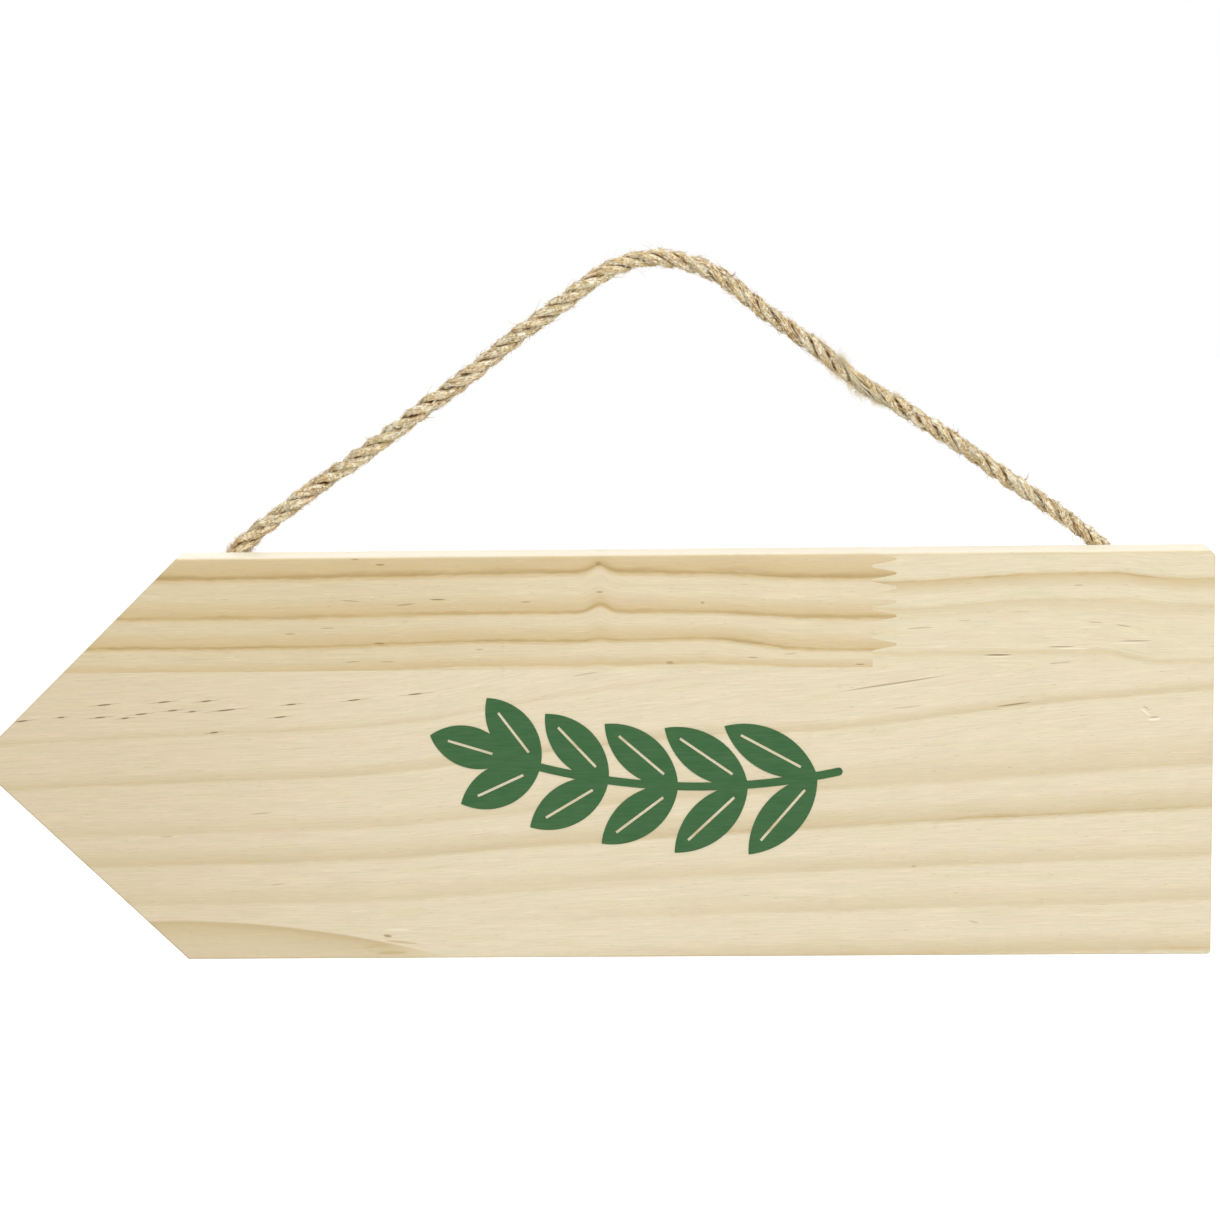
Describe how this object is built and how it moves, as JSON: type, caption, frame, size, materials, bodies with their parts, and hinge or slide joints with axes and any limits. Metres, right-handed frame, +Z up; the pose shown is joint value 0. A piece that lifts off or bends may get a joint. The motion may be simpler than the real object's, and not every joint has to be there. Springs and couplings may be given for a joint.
{
  "type": "hanging wooden sign",
  "caption": "Arrow-shaped pine sign with a painted leaf sprig, glued from staves with a finger joint, hung by a twisted rope stapled to its back",
  "frame": {"origin": "the hanging place, where a nail touches the underside of the rope at its highest point, in the rope's own plane behind the board", "axes": "+Z up, +X along the board towards the square end with the arrow's point at -X, front face towards -Y"},
  "size_m": [0.3991, 0.0216, 0.2282],
  "materials": {
    "banded_pine": "planed pine with strong dark growth rings, satin",
    "pale_pine": "planed pale pine, satin",
    "wide_pine": "planed pine with faint slanting growth rings, satin",
    "green_paint": "thin matt green paint on wood",
    "jute_rope": "twisted natural fibre, fuzzy",
    "staple_wire": "bright galvanised wire"
  },
  "bodies": {
    "root": {"stave_upper_left": "banded_pine", "stave_upper_right": "pale_pine", "stave_lower": "wide_pine", "painted_sprig": "green_paint", "rope": "jute_rope", "rope_staples": "staple_wire"}
  },
  "joints": []
}
